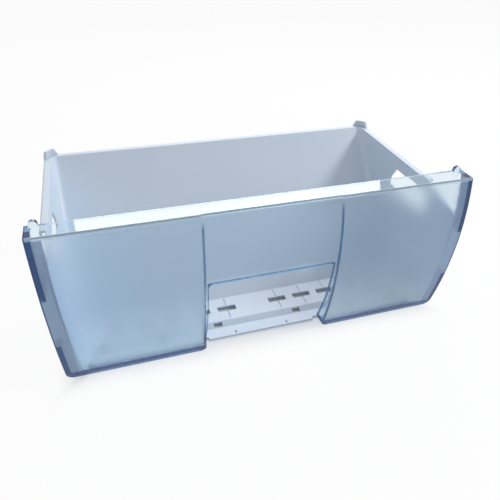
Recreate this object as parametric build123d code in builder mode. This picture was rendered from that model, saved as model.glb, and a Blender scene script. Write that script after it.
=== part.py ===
"""A freezer drawer: a moulded basket that is open at the front, and the clear front panel clipped to it.

Millimetres, +Z up. The drawer's front faces -Y. The origin is under the middle of its overall box.
"""
import os
from math import hypot, radians, tan

from build123d import *

# Overall sizes
WIDTH = 450.0  # front panel, side to side at its top
DEPTH = 240.0  # front of the panel's bulge to the back of the rear rim
PANEL_HEIGHT = 182.0  # top of the panel's flange above the sole
RIM_HEIGHT = 153.0  # top of the basket's rim above the sole
FIT = 0.4  # gap between the panel and the basket where they meet

# Front panel: the bulged side sections
PANEL_WALL = 3.0
PANEL_TAPER = 3.0  # how much narrower each side is at the bottom
PANEL_CORNER = 9.0  # radius of the two outer lower corners
PANEL_TOP_ROUND = 2.0  # radius of the top front edge
BULGE_HEIGHT = 103.0  # where the face stands furthest forward
TOP_SETBACK = 10.3  # face at the top edge, behind the bulge
BOTTOM_SETBACK = 12.1  # face at the bottom edge, behind the bulge
FLANGE_DEPTH = 21.0  # top flange, front to back

# Front panel: the recessed middle with the hand opening
OPENING_HALF = 69.3
OPENING_HEIGHT = 104.0
OPENING_CORNER = 4.5  # radius of the opening's two upper corners
OPENING_FOOT = 10.0  # radius of the two lower corners beside the opening
RECESS_MARGIN = 3.6  # from the opening's side to the crease where the recess begins
RECESS_DRAFT = 7.0  # degrees that its side walls close in towards the back
RECESS_TOP_STEP = 0.8  # recessed face behind the side sections, at the top edge
RECESS_MIDDLE_SETBACK = 1.5  # recessed face at the opening's top edge, behind the bulge
RECESS_BOTTOM_SETBACK = 25.3  # recessed face at the bottom edge, behind the bulge

# Front panel: tabs, clip arms, sill and lugs
TAB_WALL = 5.0
TAB_DEPTH = 14.0  # how far the tabs reach behind the face
UPPER_TAB_LENGTH = 63.0  # down from the panel's top
LOWER_TAB_TOP = 58.0
TAB_HOLE_RADIUS = 2.5
TAB_HOLE_DROPS = (22.0, 38.5)  # below the panel's top
ARM_WALL = 2.5
ARM_HEIGHT = 12.0  # clip arm that reaches back along the basket's wall
HOOK_LENGTH = 7.0
SILL_DEPTH = 12.0  # bottom ledge behind the face's lower edge
SILL_INSET = 5.0  # from the inside of the basket's wall to the ledge's outer end
LUG_WIDTH = 8.0  # rounded lugs on the flange's rear corners
LUG_HEIGHT = 6.0
LUG_WALL = 4.0
LUG_INSET = 4.0  # from the panel's side edge

# Basket: walls and floor
BASKET_WALL = 2.2
SIDE_GAP = 5.2  # from the rim's outer edge in to the line of the panel's side
SIDE_LEAN = 6.8  # how much nearer the middle each side is at the sole than at the rim
CORNER_RADIUS = 9.0  # inside, where the sides meet the floor and the back
FLOOR_STEP = 4.0  # floor above the gutter along its front
GUTTER_BACK_SETBACK = 39.3  # back of the gutter, behind the bulge
RAMP_RUN = 7.0  # from the gutter up to the floor, front to back
FLOOR_BACK_SETBACK = 85.3  # fold between the floor and the leaning back
TONGUE_GAP = 4.0  # lip of the gutter inside the hand opening's sides
TONGUE_SETBACK = 24.3  # front edge of that lip, behind the bulge

# Basket: slots and holes in the floor
PATTERN_MARGIN = 6.0  # least distance from the pattern to the walls' rounding
SLOT_PITCH = 33.0
SLOT_LENGTH = 23.0
SLOT_WIDTH = 8.0
GROOVE_MARGIN = 2.5  # from the grooves' ends to the floor's front and back edges
GROOVE_WIDTH = 1.6
GROOVE_DEPTH = 0.8
DRAIN_PITCH = 66.0
DRAIN_FIRST = 50.0  # from the middle to the first drain hole
DRAIN_LENGTH = 10.0
DRAIN_WIDTH = 5.0
SLIT_PLACE = 32.0  # small slits in the gutter's lip, from the middle
SLIT_LENGTH = 4.0
SLIT_WIDTH = 1.4
SLIT_SETBACK = 28.5

# Basket: rim, clip windows and rear stops
RIM_WALL = 2.5
RIM_REACH = 8.0  # inside of the wall to the rim's outer edge
RIM_SKIRT = 6.0  # turned-down outer edge, from the rim's top
RIM_ROUND = 2.0  # radius of the rim's outer top edge
SKIRT_WALL = 2.0
RIM_FRONT_SETBACK = 63.3  # front end of the side rims, behind the bulge
SHOULDER_DROP = 14.0  # fall of the wall's top edge in front of the rim
WINDOW_DROP = 15.0  # rim's top to the window's top
WINDOW_HEIGHT = 26.0
WINDOW_FRONT_SETBACK = 55.3
WINDOW_LENGTH = 77.5
WINDOW_CHAMFER = (7.5, 14.0)  # along the wall, and down its rear edge
STOP_HEIGHT = 8.0  # rear stops above the rim
STOP_ROUND = 1.2  # radius of their top edges
STOP_BACK_LENGTH = 18.0
STOP_SIDE_LENGTH = 16.0
STOP_WALL = 3.0
STOP_SLOPE = 6.0  # run of the sloped end of each stop

BEYOND = 30.0  # how far cutting shapes reach past what they cut

FRONT = -DEPTH / 2
REAR = DEPTH / 2
RECESS_HALF = OPENING_HALF + RECESS_MARGIN
RIM_OUTER = WIDTH / 2 - SIDE_GAP
RIM_HALF = RIM_OUTER - RIM_REACH
SOLE_HALF = RIM_HALF - SIDE_LEAN

os.makedirs("parts", exist_ok=True)


def run_on(curve):
    """The point where an arc arrives when it runs on past its end."""
    return curve @ (1 + BEYOND / curve.length)


def behind_sections(shift):
    """All the space behind the bulged face, moved back by shift. It runs on below the panel's bottom edge."""
    apex = (FRONT + shift, BULGE_HEIGHT)
    top = (FRONT + TOP_SETBACK + shift, PANEL_HEIGHT)
    bottom = (FRONT + BOTTOM_SETBACK + shift, 0)
    with BuildPart() as space:
        with BuildSketch(Plane.YZ) as side:
            with BuildLine():
                TangentArc(apex, top, tangent=(0, 1))
                foot = run_on(TangentArc(apex, bottom, tangent=(0, -1), mode=Mode.PRIVATE))
                ThreePointArc(apex, bottom, foot)
                Polyline(top, (REAR, PANEL_HEIGHT), (REAR, foot.Y), foot)
            make_face()
            fillet(side.vertices().group_by(Axis.Y)[-1].sort_by(Axis.X)[0], PANEL_TOP_ROUND)
        extrude(amount=WIDTH / 2 + BEYOND, both=True)
    return space.part


def ahead_of_recess(shift):
    """The space in front of the recessed middle, moved back and widened by shift."""
    front = FRONT - BEYOND
    back = FRONT + RECESS_BOTTOM_SETBACK + BEYOND
    top = (FRONT + TOP_SETBACK + RECESS_TOP_STEP + shift, PANEL_HEIGHT)
    middle = (FRONT + RECESS_MIDDLE_SETBACK + shift, OPENING_HEIGHT)
    bottom = (FRONT + RECESS_BOTTOM_SETBACK + shift, 0)
    draft = tan(radians(RECESS_DRAFT))
    half_at_front = RECESS_HALF + shift + draft * (FRONT - front)
    half_at_back = RECESS_HALF + shift - draft * (back - FRONT)
    with BuildPart() as space:
        # Wedge between the recess's side walls
        with BuildSketch(Plane.XY.offset(-2 * BEYOND)):
            with BuildLine():
                Polyline(
                    (-half_at_front, front),
                    (half_at_front, front),
                    (half_at_back, back),
                    (-half_at_back, back),
                    close=True,
                )
            make_face()
        extrude(amount=PANEL_HEIGHT + 3 * BEYOND)
        # All the space behind the recessed face
        with BuildSketch(Plane.YZ) as side:
            with BuildLine():
                foot = run_on(ThreePointArc(top, middle, bottom, mode=Mode.PRIVATE))
                ThreePointArc(top, middle, foot)
                Polyline(foot, (REAR, foot.Y), (REAR, PANEL_HEIGHT), top)
            make_face()
            fillet(side.vertices().group_by(Axis.Y)[-1].sort_by(Axis.X)[0], PANEL_TOP_ROUND)
        extrude(amount=WIDTH / 2, both=True, mode=Mode.SUBTRACT)
    return space.part


def behind_panel(shift):
    """All the space behind the whole front face, moved back by shift."""
    return behind_sections(shift) - ahead_of_recess(shift)


# Space that the front panel fills: behind its face and within its outline
with BuildPart() as panel_space:
    add(behind_panel(0))
    with BuildSketch(Plane.XZ) as outline:
        with BuildLine():
            Polyline(
                (-WIDTH / 2, PANEL_HEIGHT),
                (WIDTH / 2, PANEL_HEIGHT),
                (WIDTH / 2 - PANEL_TAPER, 0),
                (-WIDTH / 2 + PANEL_TAPER, 0),
                close=True,
            )
        make_face()
        Rectangle(2 * OPENING_HALF, OPENING_HEIGHT, align=(Align.CENTER, Align.MIN), mode=Mode.SUBTRACT)
        feet = outline.vertices().group_by(Axis.Y)[0].sort_by(Axis.X)
        fillet([feet[0], feet[-1]], PANEL_CORNER)
        fillet(outline.vertices().group_by(Axis.Y)[0].sort_by(Axis.X)[1:-1], OPENING_FOOT)
        fillet(outline.vertices().group_by(Axis.Y)[-2], OPENING_CORNER)
    extrude(amount=DEPTH, both=True, mode=Mode.INTERSECT)

# Tabs along the panel's right-hand edge, which run back from the face
tab_inner = WIDTH / 2 - TAB_WALL
hole_back = FRONT + TOP_SETBACK + TAB_DEPTH / 2
with BuildPart() as tabs:
    for inner, low, high in (
        (tab_inner, PANEL_HEIGHT - UPPER_TAB_LENGTH, PANEL_HEIGHT),
        (tab_inner - PANEL_TAPER, 0, LOWER_TAB_TOP),
    ):
        with Locations((inner, FRONT, low)):
            Box(TAB_WALL + PANEL_TAPER, DEPTH, high - low, align=(Align.MIN, Align.MIN, Align.MIN))
    add(behind_panel(TAB_DEPTH), mode=Mode.SUBTRACT)
    # Small holes in the upper tab
    for drop in TAB_HOLE_DROPS:
        with Locations(Location((WIDTH / 2, hole_back, PANEL_HEIGHT - drop), (0, 90, 0))):
            Cylinder(TAB_HOLE_RADIUS, 4 * TAB_WALL, mode=Mode.SUBTRACT)

window_front = FRONT + WINDOW_FRONT_SETBACK
window_top = RIM_HEIGHT - WINDOW_DROP
window_bottom = window_top - WINDOW_HEIGHT
hook_height = (window_top + window_bottom) / 2
side_lean = SIDE_LEAN / RIM_HEIGHT
flange_back = FRONT + TOP_SETBACK + FLANGE_DEPTH
sill_end = SOLE_HALF - SILL_INSET
sill_back = FRONT + BOTTOM_SETBACK + SILL_DEPTH

with BuildPart() as front_panel:
    add(tabs.part)
    # Clip arm and the hook that catches the front edge of the basket's window
    arm_outer = tab_inner + ARM_WALL / 2
    arm_back = window_front + FIT + HOOK_LENGTH
    with Locations((arm_outer, arm_back, hook_height)):
        Box(ARM_WALL, arm_back - FRONT, ARM_HEIGHT, align=(Align.MAX, Align.MAX, Align.CENTER))
    hook_inner = SOLE_HALF + side_lean * hook_height
    with BuildSketch(Plane.XY.offset(hook_height - ARM_HEIGHT / 2)):
        with BuildLine():
            Polyline(
                (arm_outer, window_front + FIT),
                (hook_inner, window_front + FIT),
                (hook_inner, window_front + FIT + HOOK_LENGTH / 2),
                (arm_outer, arm_back),
                close=True,
            )
        make_face()
    extrude(amount=ARM_HEIGHT)
    # Sill behind the lower edge
    with Locations((OPENING_HALF, sill_back, 0)):
        Box(sill_end - OPENING_HALF, sill_back - FRONT, PANEL_WALL, align=(Align.MIN, Align.MAX, Align.MIN))
    # The left-hand side mirrors the right-hand side
    mirror(about=Plane.YZ)
    # Top flange
    with Locations((0, flange_back, PANEL_HEIGHT)):
        Box(WIDTH, flange_back - FRONT, PANEL_WALL, align=(Align.CENTER, Align.MAX, Align.MAX))
    add(panel_space.part, mode=Mode.INTERSECT)
    # Face with its even wall
    add(panel_space.part - behind_panel(PANEL_WALL))
    # Rounded lugs on the flange's rear corners
    lug_middle = WIDTH / 2 - LUG_INSET - LUG_WIDTH / 2
    lug_round = PANEL_HEIGHT + LUG_HEIGHT - LUG_WIDTH / 2
    lug_foot = PANEL_HEIGHT - PANEL_WALL
    with BuildSketch(Plane.XZ.offset(-flange_back)):
        with Locations((-lug_middle, lug_foot), (lug_middle, lug_foot)):
            Rectangle(LUG_WIDTH, lug_round - lug_foot, align=(Align.CENTER, Align.MIN))
        with Locations((-lug_middle, lug_round), (lug_middle, lug_round)):
            Circle(LUG_WIDTH / 2)
    extrude(amount=LUG_WALL)
front_panel.part.label = "front_panel"
export_step(front_panel.part, "parts/front_panel.step")

# Basket
rim_back = REAR - RIM_REACH
rim_front = FRONT + RIM_FRONT_SETBACK
floor_top = BASKET_WALL + FLOOR_STEP
floor_back = FRONT + FLOOR_BACK_SETBACK
gutter_back = FRONT + GUTTER_BACK_SETBACK
floor_front = gutter_back + RAMP_RUN
gutter_half = SOLE_HALF - CORNER_RADIUS
sole_front = sill_back + FIT
back_lean = (rim_back - floor_back) / (RIM_HEIGHT - floor_top)
basket_front = FRONT - BEYOND


def back_at(height, margin):
    """The leaning back's place at a height, moved out by a margin that is measured square to the back."""
    return floor_back + back_lean * (height - floor_top) + margin * hypot(1, back_lean)


def tub(margin):
    """The space between the leaning sides and back, from the floor up to the rim, moved out by a margin."""
    low = floor_top - margin
    low_half = SOLE_HALF + side_lean * low + margin
    high_half = RIM_HALF + margin
    with BuildPart() as block:
        with BuildSketch(Plane.YZ):
            with BuildLine():
                Polyline(
                    (basket_front, low),
                    (back_at(low, margin), low),
                    (back_at(RIM_HEIGHT, margin), RIM_HEIGHT),
                    (basket_front, RIM_HEIGHT),
                    close=True,
                )
            make_face()
        extrude(amount=WIDTH, both=True)
        with BuildSketch(Plane.XZ):
            with BuildLine():
                Polyline(
                    (-low_half, low),
                    (low_half, low),
                    (high_half, RIM_HEIGHT),
                    (-high_half, RIM_HEIGHT),
                    close=True,
                )
            make_face()
        extrude(amount=2 * DEPTH, both=True, mode=Mode.INTERSECT)
        left = block.faces().sort_by(Axis.X)[0].edges()
        right = block.faces().sort_by(Axis.X)[-1].edges()
        rounded = [edges.sort_by(Axis.Z)[0] for edges in (left, right)]
        rounded += [edges.sort_by(Axis.Y)[-1] for edges in (left, right)]
        fillet(rounded, CORNER_RADIUS + margin)
    return block.part


def gutter(margin):
    """The space of the gutter along the floor's front, with its ramp, moved out by a margin."""
    low = BASKET_WALL - margin
    ramp_shift = margin * (hypot(FLOOR_STEP, RAMP_RUN) - RAMP_RUN) / FLOOR_STEP
    with BuildPart() as block:
        with BuildSketch(Plane.YZ):
            with BuildLine():
                Polyline(
                    (basket_front, low),
                    (gutter_back + ramp_shift, low),
                    (gutter_back + ramp_shift + RAMP_RUN, low + FLOOR_STEP),
                    (gutter_back + ramp_shift + RAMP_RUN, floor_top + CORNER_RADIUS),
                    (basket_front, floor_top + CORNER_RADIUS),
                    close=True,
                )
            make_face()
        extrude(amount=gutter_half + margin, both=True)
    return block.part


# Line of the rim's outer edge, along the sides and the back
with BuildLine(Plane.XY.offset(RIM_HEIGHT)) as rim_line:
    FilletPolyline(
        (RIM_OUTER, rim_front),
        (RIM_OUTER, REAR),
        (-RIM_OUTER, REAR),
        (-RIM_OUTER, rim_front),
        radius=CORNER_RADIUS + RIM_REACH,
    )
rim_start = Plane(origin=(RIM_OUTER, rim_front, RIM_HEIGHT), x_dir=(-1, 0, 0), z_dir=(0, 1, 0))

# Rim with its turned-down outer edge
with BuildPart() as rim:
    with BuildSketch(rim_start) as section:
        Rectangle(RIM_REACH + BASKET_WALL, RIM_WALL, align=(Align.MIN, Align.MAX))
        Rectangle(SKIRT_WALL, RIM_SKIRT, align=(Align.MIN, Align.MAX))
        fillet(section.vertices().group_by(Axis.Y)[-1].sort_by(Axis.X)[0], RIM_ROUND)
    sweep(path=rim_line.wire())

# Upright stops on the two rear corners of the rim
with BuildPart() as stops:
    with BuildSketch(rim_start) as section:
        with Locations((0, -RIM_WALL)):
            Rectangle(STOP_WALL, RIM_WALL + STOP_HEIGHT, align=(Align.MIN, Align.MIN))
        fillet(section.vertices().group_by(Axis.Y)[-1], STOP_ROUND)
    sweep(path=rim_line.wire())
    # Sloped ends, along the back and along the sides
    stop_low = RIM_HEIGHT - RIM_WALL
    stop_high = RIM_HEIGHT + STOP_HEIGHT
    back_end = RIM_OUTER - STOP_BACK_LENGTH
    side_end = REAR - STOP_SIDE_LENGTH
    with BuildSketch(Plane.XZ):
        with BuildLine():
            Polyline(
                (-back_end, stop_low),
                (back_end, stop_low),
                (back_end + STOP_SLOPE, stop_high),
                (-back_end - STOP_SLOPE, stop_high),
                close=True,
            )
        make_face()
    extrude(amount=DEPTH, both=True, mode=Mode.SUBTRACT)
    with BuildSketch(Plane.YZ):
        with BuildLine():
            Polyline(
                (FRONT, stop_low),
                (side_end, stop_low),
                (side_end + STOP_SLOPE, stop_high),
                (FRONT, stop_high),
                close=True,
            )
        make_face()
    extrude(amount=WIDTH, both=True, mode=Mode.SUBTRACT)

with BuildPart() as basket:
    add(tub(BASKET_WALL))
    add(gutter(BASKET_WALL))
    # Skids under the floor, in line with the ends of the gutter
    skid_middle = gutter_half + BASKET_WALL / 2
    with Locations((-skid_middle, gutter_back, 0), (skid_middle, gutter_back, 0)):
        Box(
            BASKET_WALL,
            floor_back - gutter_back,
            floor_top - BASKET_WALL / 2,
            align=(Align.CENTER, Align.MIN, Align.MIN),
        )
    add(rim.part)
    add(tub(0), mode=Mode.SUBTRACT)
    add(gutter(0), mode=Mode.SUBTRACT)
    add(stops.part)
    # Front edges, which follow the inside of the panel
    add(behind_panel(PANEL_WALL + FIT), mode=Mode.INTERSECT)
    # Sloping shoulder of the side walls in front of the rim
    with BuildSketch(Plane.YZ):
        with BuildLine():
            Polyline(
                (rim_front, RIM_HEIGHT),
                (FRONT, RIM_HEIGHT - SHOULDER_DROP),
                (FRONT, RIM_HEIGHT + BEYOND),
                (rim_front, RIM_HEIGHT + BEYOND),
                close=True,
            )
        make_face()
    extrude(amount=WIDTH, both=True, mode=Mode.SUBTRACT)
    # Room for the panel's sills
    with Locations((0, sole_front, 0)):
        Box(
            2 * (sill_end + FIT),
            DEPTH,
            floor_top + CORNER_RADIUS,
            align=(Align.CENTER, Align.MAX, Align.MIN),
            mode=Mode.SUBTRACT,
        )
    # Lip of the gutter between the recess walls
    tongue_front = FRONT + TONGUE_SETBACK
    with Locations((0, tongue_front, 0)):
        Box(
            2 * (OPENING_HALF - TONGUE_GAP),
            gutter_back - tongue_front,
            BASKET_WALL,
            align=(Align.CENTER, Align.MIN, Align.MIN),
        )
    # Slots, and the grooves that cross them
    slot_count = int((gutter_half - PATTERN_MARGIN - SLOT_LENGTH / 2) // SLOT_PITCH)
    slot_places = [side * SLOT_PITCH * count for side in (-1, 1) for count in range(1, slot_count + 1)]
    groove_length = floor_back - floor_front - 2 * GROOVE_MARGIN
    with Locations(*[(x, (floor_front + floor_back) / 2, floor_top) for x in slot_places]):
        Box(SLOT_LENGTH, SLOT_WIDTH, 2 * floor_top, mode=Mode.SUBTRACT)
        Box(GROOVE_WIDTH, groove_length, 2 * GROOVE_DEPTH, mode=Mode.SUBTRACT)
    # Drain holes through the ramp
    drain_count = int((gutter_half - PATTERN_MARGIN - DRAIN_LENGTH / 2 - DRAIN_FIRST) // DRAIN_PITCH) + 1
    drain_places = [DRAIN_FIRST + DRAIN_PITCH * count for count in range(drain_count)]
    drain_middle = (gutter_back + floor_front) / 2
    with Locations(*[(side * x, drain_middle, floor_top) for side in (-1, 1) for x in drain_places]):
        Box(DRAIN_LENGTH, DRAIN_WIDTH, 2 * (floor_top + BEYOND), mode=Mode.SUBTRACT)
    # Slits in the lip
    with Locations(*[(side * SLIT_PLACE, FRONT + SLIT_SETBACK, 0) for side in (-1, 1)]):
        Box(SLIT_WIDTH, SLIT_LENGTH, 2 * BEYOND, mode=Mode.SUBTRACT)
    # Windows in the side walls that the panel's hooks catch in
    window_back = window_front + WINDOW_LENGTH
    with BuildSketch(Plane.YZ):
        with BuildLine():
            Polyline(
                (window_front, window_bottom),
                (window_back, window_bottom),
                (window_back, window_top - WINDOW_CHAMFER[1]),
                (window_back - WINDOW_CHAMFER[0], window_top),
                (window_front, window_top),
                close=True,
            )
        make_face()
    extrude(amount=WIDTH, both=True, mode=Mode.SUBTRACT)
basket.part.label = "basket"
export_step(basket.part, "parts/basket.step")
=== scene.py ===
"""Looks for the freezer drawer: satin white basket, clear blue front panel with frosted fields, studio light and camera."""
from math import radians

import bpy
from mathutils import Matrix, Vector

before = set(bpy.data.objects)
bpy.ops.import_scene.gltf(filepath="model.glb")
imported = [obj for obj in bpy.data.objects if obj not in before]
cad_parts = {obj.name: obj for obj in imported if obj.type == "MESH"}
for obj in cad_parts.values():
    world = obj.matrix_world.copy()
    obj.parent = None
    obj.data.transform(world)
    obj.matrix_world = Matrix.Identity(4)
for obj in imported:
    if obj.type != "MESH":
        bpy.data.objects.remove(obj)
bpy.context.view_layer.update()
scene = bpy.context.scene
scene.view_settings.view_transform = "Standard"

# Places on the panel, in metres, as in the CAD
PANEL_HALF = 0.225
PANEL_HEIGHT = 0.182
PANEL_TAPER = 0.003
FRONT = -0.120
BULGE = 0.103  # height where the face stands furthest forward
CURVE_ABOVE = 0.0103 / (PANEL_HEIGHT - BULGE) ** 2
CURVE_BELOW = 0.0121 / BULGE ** 2
TOP_EDGE = -0.1097  # front of the panel's top edge
TAB_WALL = 0.005
TAB_LOW_TOP = 0.058
TAB_FOOT = 0.119
TAB_TOP = 0.179
OPENING_HALF = 0.0693
OPENING_TOP = 0.104
RECESS_HALF = 0.0729
RECESS_DRAFT = 0.1228  # lean of the recess's side walls
# Finish of the panel
MARGIN = 0.0142  # smooth strip inside each side edge
FIELD_BOTTOM = 0.009
FIELD_TOP = 0.1785
SHELL_DEPTH = 0.0055  # how far behind the bulged face the frost goes
CREASE_HALF = 0.0010
CREASE_TOP = 0.1785  # where the creases fade out
CUT_EDGE = 0.0012
OUTLINE = 0.0008  # dark line along the side edges
CLEAR_BAND = 0.005
FROST_MATT = 0.04  # share of the frost that scatters light back
LINE_MATT = 0.40
MARGIN_MATT = 0.50
# Matt share of the painted highlight on the top edge
EDGE_HIGHLIGHT_MATT = 0.45


def new_material(name):
    """A material with an empty node tree, its output and a Principled shader."""
    material = bpy.data.materials.new(name)
    material.use_nodes = True
    tree = material.node_tree
    tree.nodes.clear()
    output = tree.nodes.new("ShaderNodeOutputMaterial")
    shader = tree.nodes.new("ShaderNodeBsdfPrincipled")
    return material, tree, output, shader


def math(tree, operation, first, second=None, clamp=False):
    """The output of a Math node. Each input is a number or a socket."""
    node = tree.nodes.new("ShaderNodeMath")
    node.operation = operation
    node.use_clamp = clamp
    for socket, value in zip(node.inputs, (first, second)):
        if isinstance(value, (int, float)):
            socket.default_value = value
        elif value is not None:
            tree.links.new(value, socket)
    return node.outputs[0]


def add_scaled(tree, value, factor, offset):
    """A socket times a factor, plus an offset."""
    scaled = math(tree, "MULTIPLY", value, factor)
    return math(tree, "ADD", scaled, offset)


def ramp(tree, value, start, end):
    """0 where value is at start, 1 where it is at end, and smooth between them."""
    node = tree.nodes.new("ShaderNodeMapRange")
    node.interpolation_type = "SMOOTHSTEP"
    node.inputs["From Min"].default_value = start
    node.inputs["From Max"].default_value = end
    tree.links.new(value, node.inputs["Value"])
    return node.outputs["Result"]


def noise(tree, position, scale, detail=2.0, roughness=0.5):
    """Noise over the object's own coordinates, with scale in features per metre."""
    node = tree.nodes.new("ShaderNodeTexNoise")
    node.inputs["Scale"].default_value = scale
    node.inputs["Detail"].default_value = detail
    node.inputs["Roughness"].default_value = roughness
    tree.links.new(position, node.inputs["Vector"])
    return node.outputs["Fac"]


def object_position(tree):
    """The object's own coordinates, in metres, and their X, Y and Z."""
    position = tree.nodes.new("ShaderNodeTexCoord").outputs["Object"]
    split = tree.nodes.new("ShaderNodeSeparateXYZ")
    tree.links.new(position, split.inputs[0])
    return position, split.outputs


def colour_between(tree, factor, first, second):
    """A colour between two, by a factor socket. Each is a colour or a socket."""
    node = tree.nodes.new("ShaderNodeMix")
    node.data_type = "RGBA"
    tree.links.new(factor, node.inputs["Factor"])
    for name, colour in (("A", first), ("B", second)):
        socket = next(socket for socket in node.inputs if socket.name == name and socket.type == "RGBA")
        if isinstance(colour, tuple):
            socket.default_value = (*colour, 1)
        else:
            tree.links.new(colour, socket)
    return next(socket for socket in node.outputs if socket.type == "RGBA")


def bump(tree, height, strength, distance, normal=None):
    """A Bump node's normal from a height socket."""
    node = tree.nodes.new("ShaderNodeBump")
    node.inputs["Strength"].default_value = strength
    node.inputs["Distance"].default_value = distance
    tree.links.new(height, node.inputs["Height"])
    if normal is not None:
        tree.links.new(normal, node.inputs["Normal"])
    return node.outputs["Normal"]


def basket_plastic():
    """Cool white moulded plastic with a satin skin, soft flow marks and rounded edges."""
    material, tree, output, shader = new_material("basket_plastic")
    position, _ = object_position(tree)
    flow = noise(tree, position, 14, 3)
    grain = noise(tree, position, 1500, 2)
    colour = colour_between(tree, flow, (0.65, 0.745, 0.87), (0.70, 0.79, 0.905))
    tree.links.new(colour, shader.inputs["Base Color"])
    tree.links.new(add_scaled(tree, flow, 0.12, 0.33), shader.inputs["Roughness"])
    rounded = tree.nodes.new("ShaderNodeBevel")
    rounded.samples = 6
    rounded.inputs["Radius"].default_value = 0.0009
    tree.links.new(bump(tree, grain, 0.12, 0.0002, rounded.outputs["Normal"]), shader.inputs["Normal"])
    shader.inputs["IOR"].default_value = 1.5
    tree.links.new(shader.outputs[0], output.inputs["Surface"])
    return material


def panel_masks(tree, x, y, z):
    """The panel's frosted fields, lines painted with shade, side margins painted with shade, tabs, foot and top edge
    painted with a highlight, each from 0 to 1.
    """
    across = math(tree, "ABSOLUTE", x)
    # How far inside the panel's side edge, which leans in towards the bottom
    edge_half = add_scaled(tree, z, PANEL_TAPER / PANEL_HEIGHT, PANEL_HALF - PANEL_TAPER)
    inside = math(tree, "SUBTRACT", edge_half, across)
    # How far outside the recess's side wall, which leans in towards the back
    wall_half = add_scaled(tree, y, -RECESS_DRAFT, RECESS_HALF + RECESS_DRAFT * FRONT)
    beside = math(tree, "SUBTRACT", across, wall_half)
    # How far behind the bulged face, which curves more above the bulge than below it
    curvature = add_scaled(tree, ramp(tree, z, BULGE - 0.001, BULGE + 0.001), CURVE_ABOVE - CURVE_BELOW, CURVE_BELOW)
    rise = math(tree, "SUBTRACT", z, BULGE)
    setback = math(tree, "MULTIPLY", math(tree, "MULTIPLY", rise, rise), curvature)
    depth = math(tree, "SUBTRACT", math(tree, "SUBTRACT", y, FRONT), setback)
    face = ramp(tree, depth, SHELL_DEPTH + 0.0005, SHELL_DEPTH)
    # Painted shade along the two creases, which fade out near the top
    crease = ramp(tree, math(tree, "ABSOLUTE", beside), CREASE_HALF + 0.0005, CREASE_HALF)
    crease = math(tree, "MULTIPLY", crease, ramp(tree, z, CREASE_TOP, CREASE_TOP - 0.012))
    crease = math(tree, "MULTIPLY", crease, ramp(tree, depth, 0.0022, 0.0014))
    # The cut edge at the top and the sides of the hand opening, where a dark blue line is painted as shade
    over = ramp(tree, math(tree, "ABSOLUTE", math(tree, "SUBTRACT", z, OPENING_TOP)), CUT_EDGE + 0.0004, CUT_EDGE)
    over = math(tree, "MULTIPLY", over, ramp(tree, across, OPENING_HALF + 0.0009, OPENING_HALF + 0.0005))
    sides = ramp(tree, math(tree, "ABSOLUTE", math(tree, "SUBTRACT", across, OPENING_HALF)), 0.0009, 0.0005)
    sides = math(tree, "MULTIPLY", sides, ramp(tree, z, OPENING_TOP + CUT_EDGE, OPENING_TOP))
    lines = math(tree, "MAXIMUM", crease, math(tree, "MAXIMUM", over, sides))
    field = math(tree, "MULTIPLY", face, ramp(tree, inside, MARGIN - 0.0003, MARGIN + 0.0003))
    field = math(tree, "MULTIPLY", field, ramp(tree, z, FIELD_BOTTOM, FIELD_BOTTOM + 0.002))
    field = math(tree, "MULTIPLY", field, ramp(tree, z, FIELD_TOP + 0.0005, FIELD_TOP))
    # Painted shade: the side margins, darkened for the dark seen through them
    shaded_margin = math(tree, "MULTIPLY", face, ramp(tree, inside, MARGIN + 0.0003, MARGIN - 0.0003))
    shaded_margin = math(tree, "MULTIPLY", shaded_margin, ramp(tree, z, FIELD_TOP + 0.0005, FIELD_TOP))
    # Deep blue where the tabs stand behind the edge, in two stretches, and a thin outline between them
    stretch = ramp(tree, z, TAB_LOW_TOP + 0.001, TAB_LOW_TOP)
    upper = math(tree, "MULTIPLY", ramp(tree, z, TAB_FOOT, TAB_FOOT + 0.001), ramp(tree, z, TAB_TOP + 0.001, TAB_TOP))
    stretch = math(tree, "MAXIMUM", stretch, upper)
    tab = math(tree, "MULTIPLY", ramp(tree, inside, TAB_WALL + 0.0008, TAB_WALL + 0.0002), stretch)
    tab = math(tree, "MAXIMUM", tab, ramp(tree, inside, OUTLINE + 0.0004, OUTLINE))
    # Smooth band over the opening, between the creases
    band = ramp(tree, z, OPENING_TOP + CLEAR_BAND + 0.0005, OPENING_TOP + CLEAR_BAND)
    band = math(tree, "MULTIPLY", band, ramp(tree, beside, 0.0010, 0.0006))
    smooth = math(tree, "MAXIMUM", band, lines)
    field = math(tree, "MULTIPLY", field, math(tree, "SUBTRACT", 1.0, smooth))
    foot = ramp(tree, z, FIELD_BOTTOM + 0.002, FIELD_BOTTOM)
    # The rounded edge along the top, painted pale and partly matt as a highlight
    top_edge_highlight = ramp(tree, y, TOP_EDGE + 0.0022, TOP_EDGE + 0.0018)
    top_edge_highlight = math(tree, "MULTIPLY", top_edge_highlight, ramp(tree, z, FIELD_TOP, FIELD_TOP + 0.0005))
    return field, lines, shaded_margin, tab, foot, top_edge_highlight


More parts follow.
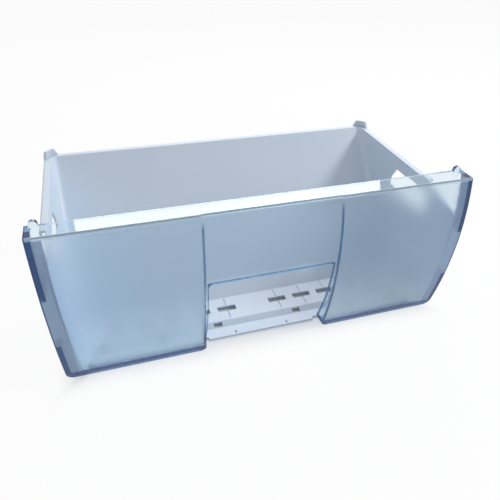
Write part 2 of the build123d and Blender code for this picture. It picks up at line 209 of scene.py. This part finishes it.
def clear_plastic():
    """Blue-tinted clear plastic, frosted in the fields of the face and smooth in margins, flange, tabs and lines,
    with painted shade in the margins and lines, a painted highlight on the top edge and painted floor light low on
    the frost.
    """
    material, tree, output, shader = new_material("clear_plastic")
    position, (x, y, z) = object_position(tree)
    field, lines, shaded_margin, tab, foot, top_edge_highlight = panel_masks(tree, x, y, z)
    speckle = noise(tree, position, 260, 3)
    frost = math(tree, "MULTIPLY", field, add_scaled(tree, speckle, 0.08, 0.24))
    frost = math(tree, "MAXIMUM", frost, math(tree, "MULTIPLY", shaded_margin, 0.28))
    tree.links.new(math(tree, "ADD", frost, 0.03), shader.inputs["Roughness"])
    # Painted light: the frost turns paler and more cyan towards the bottom, for the floor's light that the lower
    # panel picks up
    frosted = colour_between(tree, ramp(tree, z, 0.09, 0.02), (0.81, 0.91, 0.97), (0.85, 0.98, 1.0))
    colour = colour_between(tree, field, (0.90, 0.97, 1.0), frosted)
    # Painted highlight: pale blue on the rounded top edge, for the light it catches
    colour = colour_between(tree, top_edge_highlight, colour, (0.70, 0.86, 0.97))
    # Painted shade: the margins keep the plastic's blue tint, darkened for the dark seen through them
    colour = colour_between(tree, shaded_margin, colour, (0.36, 0.49, 0.67))
    colour = colour_between(tree, tab, colour, (0.03, 0.095, 0.26))
    # Painted shade: the plastic's blue tint, darkened along the creases and the opening's cut edges
    colour = colour_between(tree, lines, colour, (0.10, 0.24, 0.42))
    colour = colour_between(tree, foot, colour, (0.07, 0.16, 0.36))
    tree.links.new(colour, shader.inputs["Base Color"])
    cloud = noise(tree, position, 24, 3)
    matt = math(tree, "MULTIPLY", field, math(tree, "MULTIPLY", cloud, 2 * FROST_MATT))
    for mask, share in ((lines, LINE_MATT), (shaded_margin, MARGIN_MATT), (foot, LINE_MATT), (top_edge_highlight, EDGE_HIGHLIGHT_MATT)):
        matt = math(tree, "MAXIMUM", matt, math(tree, "MULTIPLY", mask, share))
    tree.links.new(math(tree, "SUBTRACT", 1.0, matt), shader.inputs["Transmission Weight"])
    shader.inputs["IOR"].default_value = 1.5
    # Lamps and soft bounce light pass straight through, tinted by the plastic on their way
    straight = tree.nodes.new("ShaderNodeBsdfTransparent")
    straight.inputs["Color"].default_value = (0.96, 0.98, 1.0, 1)
    path = tree.nodes.new("ShaderNodeLightPath")
    passing = math(tree, "MAXIMUM", path.outputs["Is Shadow Ray"], path.outputs["Is Diffuse Ray"])
    mix = tree.nodes.new("ShaderNodeMixShader")
    tree.links.new(passing, mix.inputs["Fac"])
    tree.links.new(shader.outputs[0], mix.inputs[1])
    tree.links.new(straight.outputs[0], mix.inputs[2])
    tree.links.new(mix.outputs[0], output.inputs["Surface"])
    # The tint deepens with the length of the way through the plastic
    absorb = tree.nodes.new("ShaderNodeVolumeAbsorption")
    absorb.inputs["Color"].default_value = (0.158, 0.428, 0.672, 1)
    absorb.inputs["Density"].default_value = 45.0
    tree.links.new(absorb.outputs[0], output.inputs["Volume"])
    return material


def paint(node, material):
    """Puts a material in all of a node's slots."""
    mesh_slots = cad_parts[node].material_slots
    for place in mesh_slots:
        place.material = material


paint("basket", basket_plastic())
paint("front_panel", clear_plastic())


def seen_ray(tree):
    """1 for rays from the camera, from mirrors or through clear plastic, and 0 for the rest."""
    path = tree.nodes.new("ShaderNodeLightPath")
    seen = math(tree, "MAXIMUM", path.outputs["Is Camera Ray"], path.outputs["Is Glossy Ray"])
    return math(tree, "MAXIMUM", seen, path.outputs["Is Transmission Ray"])


def shown_white(tree, shaded, share):
    """Mixes a shaded surface with plain white, by a share, for the rays that show it."""
    white = tree.nodes.new("ShaderNodeEmission")
    white.inputs["Color"].default_value = (1, 1, 1, 1)
    white.inputs["Strength"].default_value = 1.0
    mix = tree.nodes.new("ShaderNodeMixShader")
    tree.links.new(math(tree, "MULTIPLY", seen_ray(tree), share), mix.inputs["Fac"])
    tree.links.new(shaded, mix.inputs[1])
    tree.links.new(white.outputs[0], mix.inputs[2])
    return mix.outputs[0]


def pale_floor():
    """A large pale floor that keeps the drawer's soft shadow."""
    bpy.ops.mesh.primitive_plane_add(size=12)
    floor = bpy.context.object
    floor.name = "floor"
    material, tree, output, shader = new_material("floor_white")
    shader.inputs["Base Color"].default_value = (0.88, 0.88, 0.88, 1)
    shader.inputs["Roughness"].default_value = 0.9
    # Under the drawer the floor shows its own shade, and further out it turns white
    _, (x, y, _) = object_position(tree)
    sideways = ramp(tree, math(tree, "ABSOLUTE", x), 0.185, 0.235)
    lengthways = ramp(tree, math(tree, "ABSOLUTE", y), 0.085, 0.135)
    outside = math(tree, "MAXIMUM", sideways, lengthways)
    share = math(tree, "MULTIPLY", outside, 0.93)
    tree.links.new(shown_white(tree, shader.outputs[0], share), output.inputs["Surface"])
    floor.data.materials.append(material)


def studio_world(level):
    """Even soft light from all round, which shows as white."""
    world = bpy.data.worlds.new("studio")
    world.use_nodes = True
    tree = world.node_tree
    tree.nodes.clear()
    output = tree.nodes.new("ShaderNodeOutputWorld")
    soft = tree.nodes.new("ShaderNodeBackground")
    soft.inputs["Color"].default_value = (0.97, 0.985, 1.0, 1)
    soft.inputs["Strength"].default_value = level
    white = tree.nodes.new("ShaderNodeBackground")
    white.inputs["Color"].default_value = (1, 1, 1, 1)
    white.inputs["Strength"].default_value = 1.0
    mix = tree.nodes.new("ShaderNodeMixShader")
    tree.links.new(seen_ray(tree), mix.inputs["Fac"])
    tree.links.new(soft.outputs[0], mix.inputs[1])
    tree.links.new(white.outputs[0], mix.inputs[2])
    tree.links.new(mix.outputs[0], output.inputs["Surface"])
    scene.world = world


def window_light(name, place, target, width, height, power):
    """A rectangular soft light that faces a target."""
    lamp = bpy.data.lights.new(name, "AREA")
    lamp.shape = "RECTANGLE"
    lamp.size = width
    lamp.size_y = height
    lamp.energy = power
    lamp_object = bpy.data.objects.new(name, lamp)
    lamp_object.location = place
    lamp_object.rotation_euler = (Vector(target) - Vector(place)).to_track_quat("-Z", "Y").to_euler()
    scene.collection.objects.link(lamp_object)


pale_floor()
studio_world(0.40)
# A key light from the right and above
window_light("key", (1.55, -0.32, 1.12), (0.0, 0.0, 0.08), 0.35, 0.35, 14)
# A low window behind the drawer and to its right, which mirrors in the panel's flange
window_light("window", (0.40, 1.2, 1.40), (0.40, 0.0, 1.0), 1.42, 1.0, 18.5)

# Camera as in the photograph
camera_data = bpy.data.cameras.new("camera")
camera_data.sensor_width = 36.0
camera_data.lens = 34.76
camera = bpy.data.objects.new("camera", camera_data)
camera.location = (-0.14848, -0.47797, 0.41914)
camera.rotation_euler = (radians(53.662), radians(-1.788), radians(-17.314))
scene.collection.objects.link(camera)
scene.camera = camera
